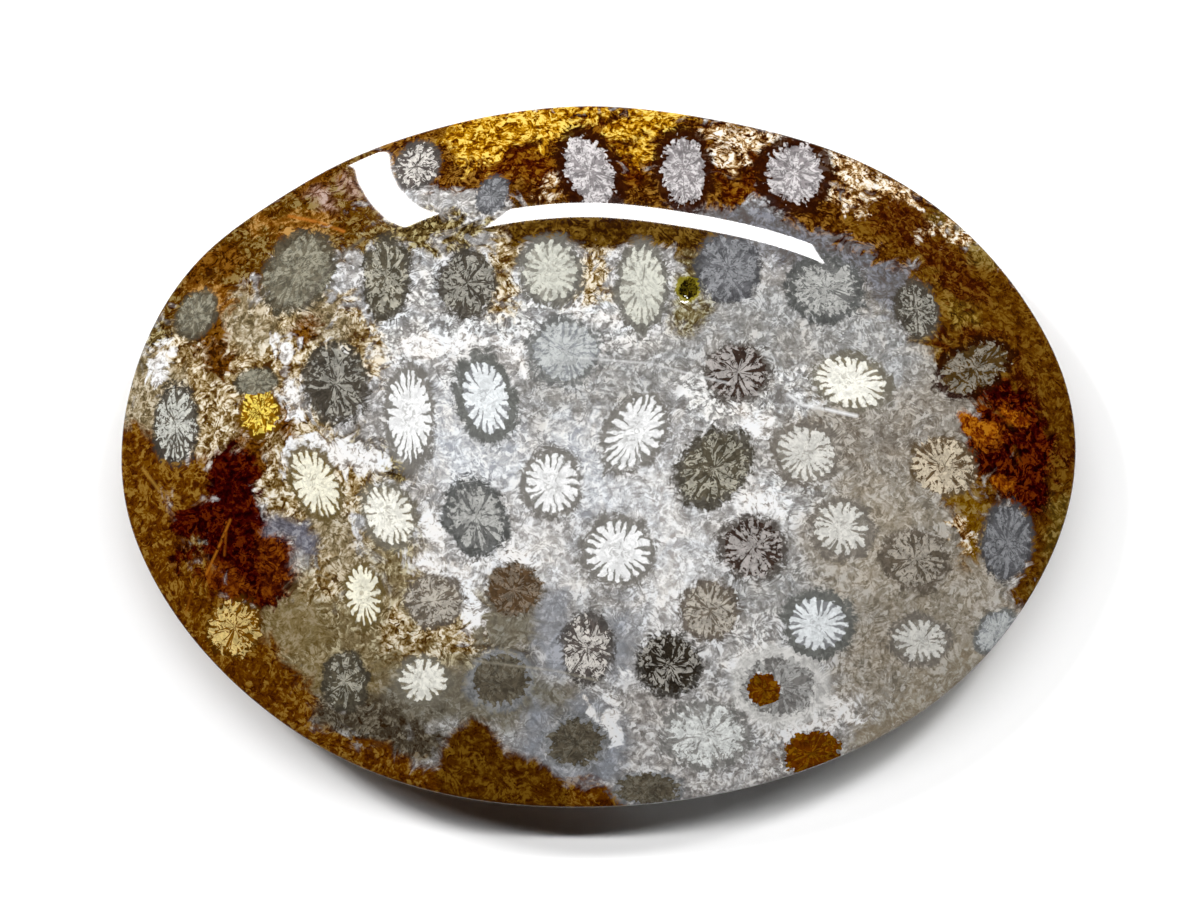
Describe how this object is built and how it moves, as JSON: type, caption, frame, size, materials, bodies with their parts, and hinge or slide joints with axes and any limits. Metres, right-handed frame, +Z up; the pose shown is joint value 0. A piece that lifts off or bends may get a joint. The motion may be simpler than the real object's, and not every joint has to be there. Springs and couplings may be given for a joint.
{
  "type": "fossil coral cabochon",
  "caption": "Oval polished cabochon of agatised fossil coral, with a domed table, a broad bevel, a thin rounded girdle and a flat base to rest on.",
  "frame": {"origin": "centre of the stone's bounding box in plan, on the flat base that it rests on", "axes": "+Z up, square to the base; +X along the stone's length; -Y towards the viewer"},
  "size_m": [0.046, 0.0349, 0.006],
  "materials": {
    "polished_agatised_coral": "high polish; grey chalcedony with white and grey coral cups, iron-stained amber and red-brown along the edges"
  },
  "bodies": {
    "root": {"fossil_coral_stone": "polished_agatised_coral"}
  },
  "joints": []
}
